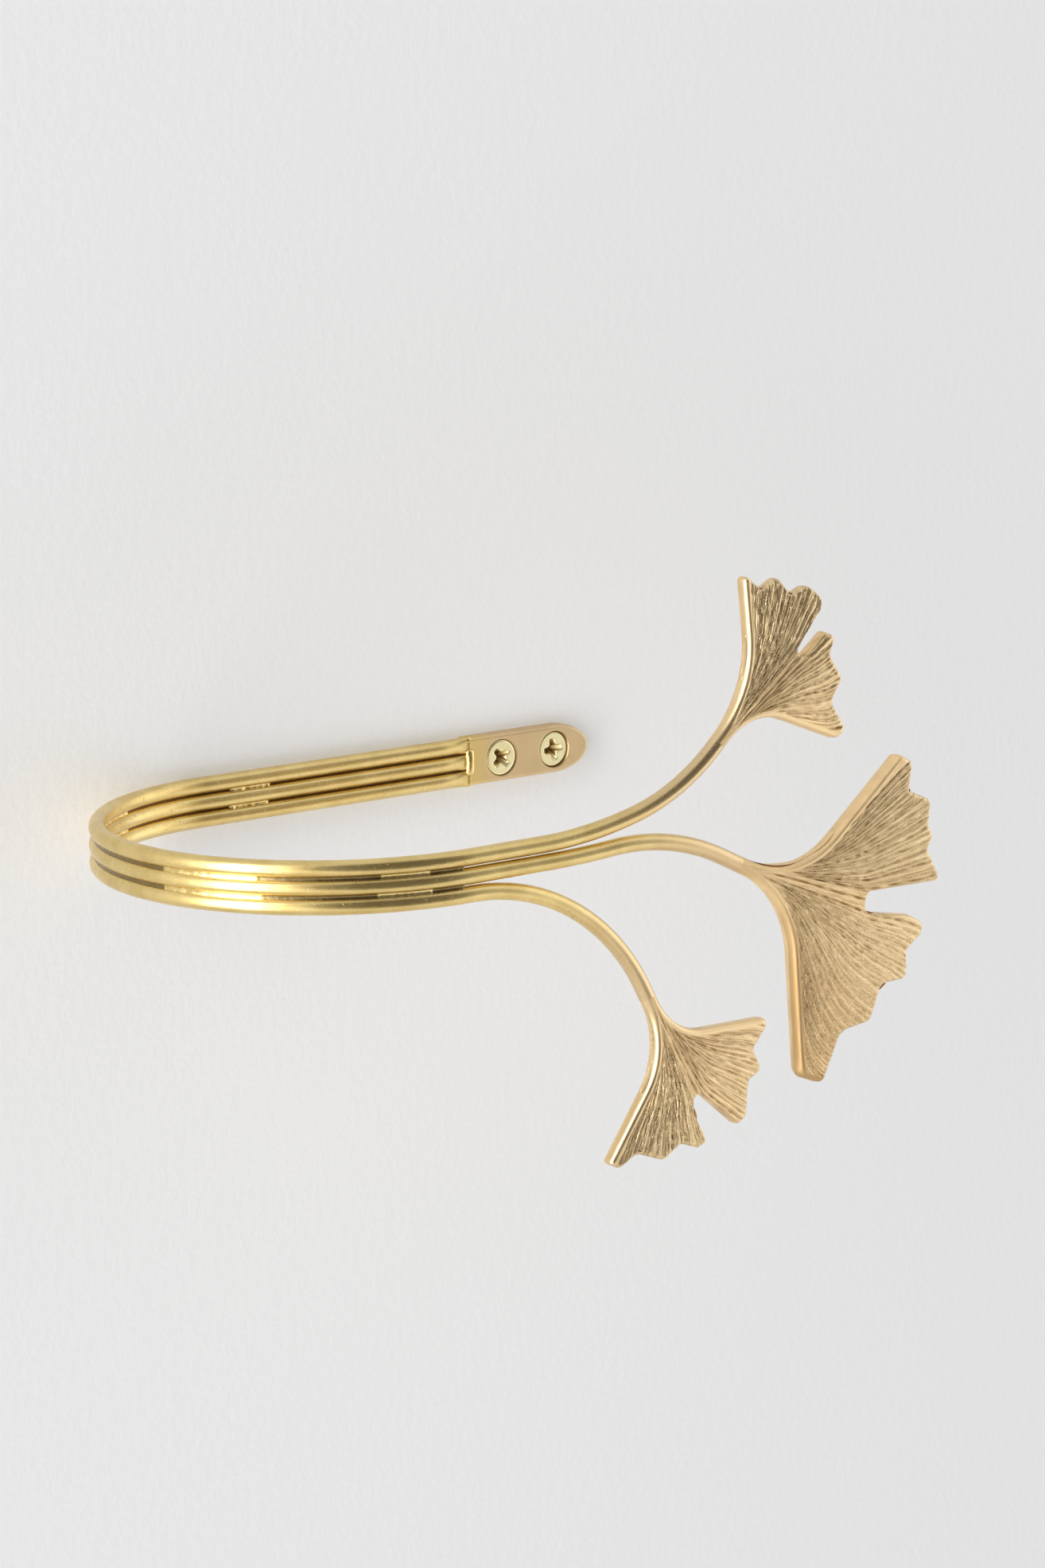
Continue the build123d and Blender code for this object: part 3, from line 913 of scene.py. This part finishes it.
def add_plate():
    """The screw plate: a strip with an elliptical nose, rounded edges and a seat for each screw."""
    shares = np.linspace(0.0, 1.0, PLATE_ROWS)
    start = PLATE_START - PLATE_LAP
    lengths = start + (PLATE_TIP - start) * (1.0 - (1.0 - shares) ** NOSE_CROWD)
    nose = np.clip((lengths - PLATE_TIP + NOSE_LENGTH) / NOSE_LENGTH, 0.0, 1.0)
    halves = PLATE_WIDTH / 2.0 * np.sqrt(1.0 - nose ** 2)
    across = halves[:, None] * (2.0 * crowded(PLATE_COLUMNS, *PLATE_CROWD) - 1.0)[None]
    flat = np.stack([np.broadcast_to(lengths[:, None], across.shape), across], axis=-1).reshape(-1, 2)
    upper = np.stack([lengths, halves], axis=-1)
    gap = distance_to(flat, np.concatenate([upper, upper[::-1] * (1, -1)]))
    gap[gap < TOUCHING] = 0.0
    edge = (1.0 - np.clip(gap / PLATE_EDGE, 0.0, 1.0)) ** PLATE_POWER
    height = PLATE_THICKNESS * (1.0 - edge) ** (1.0 / PLATE_POWER)
    seat = np.zeros(len(flat))
    for place, sink, _ in SCREWS:
        inward = HEAD_RADIUS + SEAT_GAP - np.hypot(flat[:, 0] - place, flat[:, 1])
        height = height - np.clip(SEAT_SLOPE * inward, 0.0, sink)
        height = height - np.clip(inward, 0.0, HEAD_RADIUS - SHANK_RADIUS)
        # The seat layer marks the gap round each head, where shade is painted
        seat = np.maximum(seat, smooth(inward, *SEAT_SPAN))
    front = np.stack([flat[:, 0], -height, flat[:, 1]], axis=-1)
    back = front * (1.0, 0.0, 1.0)
    golden = 1.0 - smooth(flat[:, 0], PLATE_START, PLATE_START + PLATE_BLEND)
    layers = {"golden": golden, "seat": seat}
    add_sheet("wall_plate", front, back, [across.shape], plate_brass(), layers)


def screw_profile():
    """A screw's outline as (radius, depth): its face, rim, cone, shank and point."""
    face = np.stack([np.linspace(0.0, HEAD_RADIUS - HEAD_RIM, HEAD_ROWS), np.zeros(HEAD_ROWS)], axis=-1)
    turn = np.radians(np.linspace(0.0, RIM_TURN, RIM_ROWS))[1:]
    rim_radius = HEAD_RADIUS - HEAD_RIM * (1.0 - np.sin(turn))
    rim = np.stack([rim_radius, HEAD_RIM * (1.0 - np.cos(turn))], axis=-1)
    cone_end = rim[-1, 1] + rim[-1, 0] - SHANK_RADIUS
    thread = np.arange(THREAD_START + PLATE_THICKNESS, SCREW_LENGTH, THREAD_STEP)
    lower = np.stack([np.full(len(thread), SHANK_RADIUS), thread], axis=-1)
    return np.concatenate([face, rim, [(SHANK_RADIUS, cone_end)], lower, [(SHANK_RADIUS, SCREW_LENGTH)]])


def recess_depth(radius, turn):
    """A cross recess with slanting arms that meet in a deep middle."""
    run, side = np.abs(radius * np.cos(turn)), np.abs(radius * np.sin(turn))
    run, side = np.maximum(run, side), np.minimum(run, side)
    slant = np.clip(RECESS_SLANT * (1.0 - run / RECESS_REACH), 0.0, 1.0)
    arm = slant * (1.0 - smooth(side, RECESS_FLAT * RECESS_HALF, RECESS_HALF))
    bowl = 1.0 - smooth(radius, BOWL_FROM * RECESS_REACH, BOWL_TO * RECESS_REACH)
    return RECESS_DEPTH * np.maximum(arm, bowl)


def threaded(radius, depth, turns):
    """A screw's radius with its helical thread and its point."""
    wave = np.abs(2.0 * ((depth / THREAD_PITCH + turns / FULL_TURN) % 1.0) - 1.0)
    crest = np.clip(THREAD_SHARPNESS * wave - (THREAD_SHARPNESS - 1.0), 0.0, 1.0)
    thread = THREAD_CORE + (THREAD_CREST - THREAD_CORE) * crest
    start = THREAD_START + PLATE_THICKNESS
    radius = radius + (thread - radius) * smooth(depth, start, start + THREAD_FADE)
    return radius * np.clip((SCREW_LENGTH - depth) / POINT_LENGTH, 0.0, 1.0) ** POINT_POWER


def add_screws():
    """Two countersunk wood screws with a helical thread."""
    profile = screw_profile()
    turns = np.linspace(0.0, FULL_TURN, SCREW_SIDES + 1)[:-1]
    points, faces, recess_shades = [], [], []
    for place, sink, recess_turn in SCREWS:
        radius, depth = (np.repeat(values[:, None], len(turns), axis=1) for values in profile.T)
        radius = threaded(radius, depth, turns)
        recess = recess_depth(radius, turns - math.radians(recess_turn))
        recess = np.where(depth < TOUCHING, recess, 0.0)
        depth = depth + recess
        ring = [place + radius * np.cos(turns), sink - PLATE_THICKNESS + depth, radius * np.sin(turns)]
        faces.append(grid_faces(*radius.shape, True) + sum(len(group) for group in points))
        points.append(np.stack(ring, axis=-1).reshape(-1, 3))
        # How deep each point lies in the recess, for the painted shade there
        recess_shades.append((recess / RECESS_DEPTH).ravel())
    points = np.concatenate(points)
    first, member = joined_points(points, 5)
    layers = {"recess": np.concatenate(recess_shades)[first]}
    add_piece("wall_screws", points[first], joined_faces(faces, member), screw_brass(),
              "wall_screws", layers)


# Filler metal

def web_swell(runs, start, end):
    """How far a web fills its groove: ragged, with a raised drop at either end."""
    body = smooth(runs, start, start + WEB_END) * (1.0 - smooth(runs, end - WEB_END, end))
    places = (start + DROP_PLACE, end - DROP_PLACE)
    drops = sum(np.exp(-((runs - place) / DROP_HALF) ** 2) for place in places)
    return body * (WEB_BODY + WEB_RIPPLE * waves(runs, *WEB_WAVES)) + DROP_SWELL * drops


def groove_fill(runs, webs):
    """How far a groove is filled along the rods, and how far its metal reaches out."""
    fuller = smooth(runs, WALL_RUN + FULLER_FROM * BEND_RADIUS, WALL_RUN + FULLER_TO * BEND_RADIUS)
    swell = FULLER_SWELL * fuller
    reach = GROOVE_REACH + (FRONT_REACH - GROOVE_REACH) * fuller
    for start, length, full in webs:
        ends = chance.uniform(-WEB_SHIFT, WEB_SHIFT, 2) + (start, start + length)
        here = web_swell(runs, *ends)
        swell = np.maximum(swell, here)
        reach = reach + np.maximum(full - reach, 0.0) * here
    return swell, reach


def groove_section(reach):
    """The outline of the metal in a groove, filled to reach on both sides."""
    across = np.linspace(-1.0, 1.0, GROOVE_COLUMNS)[None] * reach[:, None]
    upper = ROD_PITCH / 2.0 - np.sqrt(ROD_RADIUS ** 2 - across ** 2) + ROD_OVERLAP
    sag = np.linspace(1.0, -1.0, CAP_COLUMNS)[1:-1][None]
    cap = reach[:, None] - CAP_SAG * upper[:, -1:] * (1.0 - sag ** 2)
    outward = np.concatenate([across, cap, across[:, ::-1], -cap], axis=1)
    height = np.concatenate([upper, sag * upper[:, -1:], -upper[:, ::-1], -sag * upper[:, :1]], axis=1)
    return outward, height


def bead():
    """The waisted lump that joins the middle rod to the plate."""
    around = np.linspace(0.0, FULL_TURN, BEAD_SIDES + 1)[:-1]
    turn, rise = np.meshgrid(around, np.linspace(-BEAD_RISE, BEAD_RISE, BEAD_ROWS), indexing="xy")
    width, height, length = BEAD_HALF
    waist = BEAD_WAIST + (1.0 - BEAD_WAIST) * np.sin(rise) ** 2
    lump = np.cos(rise) ** BEAD_POWER
    return np.stack([PLATE_START + BEAD_SHIFT + width * waist * lump * np.cos(turn),
                     -PLATE_THICKNESS + height * lump * np.sin(turn), length * np.sin(rise)], axis=-1)


def add_filler():
    """A line in both grooves, painted groove shade where unfilled and metal in its webs, and the bead at
    the plate.
    """
    line = rod_line(*RODS["middle_rod"])
    steps = np.arange(0.0, GROOVE_END, GROOVE_STEP)
    places, outs = (np.stack([np.interp(steps, line.runs, values[:, axis]) for axis in range(3)], axis=-1)
                    for values in (line.places, line.outs))
    webs = [WALL_WEB]
    for start, turn, reach in BEND_WEBS:
        first, length = (BEND_RADIUS * math.radians(angle) for angle in (start, turn))
        webs.append((WALL_RUN + first, length, reach))
    up = np.array((0.0, 0.0, 1.0))
    tubes = []
    for side in (1.0, -1.0):
        swell, reach = groove_fill(steps, webs)
        outward, height = groove_section(reach)
        level = height + side * ROD_PITCH / 2.0
        tube = places[:, None] + outward[..., None] * outs[:, None] + level[..., None] * up
        tubes.append((tube, np.clip(swell * FILL_GAIN, 0.0, 1.0)))
    tubes.append((bead(), np.ones(BEAD_ROWS)))
    points, faces, fill, count = [], [], [], 0
    for tube, full in tubes:
        rows, columns = tube.shape[:2]
        faces += tube_faces(rows, columns, count)
        points.append(tube.reshape(-1, 3))
        fill.append(np.repeat(full, columns))
        count += rows * columns
    # Low fill marks painted groove shade, high fill the metal of a web or the bead
    layers = {"fill": np.concatenate(fill)}
    add_piece("filler", np.concatenate(points), faces, filler_brass(), "braze", layers)


# Wall, light and camera

def wall_opening():
    """The wall's columns as (place, half height of the opening behind the rods)."""
    leg_end = PLATE_START - WALL_RUN
    nose = np.linspace(0.0, OPENING_ROUND, OPENING_STEPS)
    halves = (PLATE_WIDTH / 2.0 - OPENING_INSET) * np.sqrt(1.0 - nose ** 2)
    tip = PLATE_TIP - OPENING_INSET
    columns = [(-WALL_HALF, 0.0), (leg_end, 0.0), (leg_end + OPENING_INSET, OPENING_LEG),
               (PLATE_START, OPENING_LEG), (PLATE_START + OPENING_INSET, halves[0])]
    columns += [(tip - NOSE_LENGTH * (1.0 - share), half) for share, half in zip(nose, halves)]
    return columns + [(tip, 0.0), (WALL_HALF, 0.0)]


def add_wall():
    """The wall, in strips above and below its opening."""
    columns = wall_opening()
    points = [(x * MM, 0.0, z * MM) for x, half in columns for z in (-WALL_HALF, -half, half, WALL_HALF)]
    lows = range(0, 4 * (len(columns) - 1), 2)
    faces = [(low, low + 4, low + 5, low + 1) for low in lows]
    mesh = bpy.data.meshes.new("wall")
    mesh.from_pydata(points, [], faces)
    mesh.materials.append(wall_paint())
    wall_piece = new_object("wall", mesh)


def direction(azimuth, elevation):
    turn, rise = math.radians(azimuth), math.radians(elevation)
    return Vector((math.sin(turn) * math.cos(rise), math.cos(turn) * math.cos(rise), math.sin(rise)))


def aim(piece, place, ahead, roll=0.0):
    """Puts a lamp or a camera at a place in metres, looking ahead."""
    turn = ahead.to_track_quat("-Z", "Y").to_matrix() @ Matrix.Rotation(roll, 3, "Z")
    piece.location = place
    piece.rotation_euler = turn.to_euler()


def add_window():
    """A tall soft lamp at the left."""
    lamp = bpy.data.lights.new("window", "AREA")
    lamp.shape = "RECTANGLE"
    lamp.size, lamp.size_y = (side * MM for side in WINDOW_SIZE)
    lamp.energy = WINDOW_POWER
    window = new_object("window", lamp)
    place = Vector(WINDOW_PLACE) * MM
    aim(window, place, Vector(WINDOW_TARGET) * MM - place)
    window.visible_camera = False


def add_room():
    """Light from all round, dark in front, and plain where the camera sees it."""
    world = bpy.data.worlds.new("room")
    world.use_nodes = True
    bpy.context.scene.world = world
    nodes = Nodes(world.node_tree)
    towards = nodes.add("TexCoord").outputs["Generated"]
    height = nodes.add("SeparateXYZ", {0: towards}).outputs["Z"]
    shade = nodes.add("ValToRGB", {0: nodes.spread(height, -1.0, 1.0)})
    stops = shade.color_ramp.elements
    stops[0].color = (*SKY_DOWN, 1.0)
    stops[1].color = (*SKY_UP, 1.0)
    for place, tone in SKY_STOPS:
        stops.new(place).color = (tone, tone, tone, 1.0)
    facing = nodes.add("VectorMath", {0: towards, 1: direction(DARK_AZIMUTH, DARK_ELEVATION)})
    facing.operation = "DOT_PRODUCT"
    reach, core = math.cos(math.radians(DARK_REACH)), math.cos(math.radians(DARK_CORE))
    dark = nodes.spread(facing.outputs["Value"], reach, core, 0.0, DARK_SHARE)
    ground = nodes.all["Background"]
    tone = nodes.mix(dark, shade.outputs["Color"], DARK_TONE)
    nodes.fill(ground, {"Color": tone, "Strength": SKY_STRENGTH})
    seen = nodes.add("Background", {"Color": SKY_SEEN})
    by_camera = nodes.add("LightPath").outputs["Is Camera Ray"]
    pick = nodes.add("MixShader", {0: by_camera, 1: ground.outputs[0], 2: seen.outputs[0]})
    nodes.feed(nodes.all["World Output"].inputs["Surface"], pick.outputs[0])


def add_camera():
    lens = bpy.data.cameras.new("camera")
    lens.lens = CAMERA_LENS
    lens.sensor_width = CAMERA_SENSOR
    lens.clip_start = CAMERA_NEAR * MM
    lens.clip_end = CAMERA_FAR * MM
    camera = new_object("camera", lens)
    ahead = direction(CAMERA_AZIMUTH, -CAMERA_ELEVATION)
    aim(camera, Vector(CAMERA_PLACE) * MM, ahead, math.radians(CAMERA_ROLL))
    bpy.context.scene.camera = camera


# The object
rod_finish = rod_brass()
stems = {name: add_rod(name, rod_finish) for name in RODS}
leaf_finish = leaf_brass()
for leaf_name, leaf in LEAVES.items():
    add_leaf(leaf_name, leaf, stems[leaf["rod"]], leaf_finish)
add_plate()
add_screws()
add_filler()

# The scene
add_wall()
add_window()
add_room()
add_camera()
bpy.context.scene.view_settings.view_transform = "Standard"
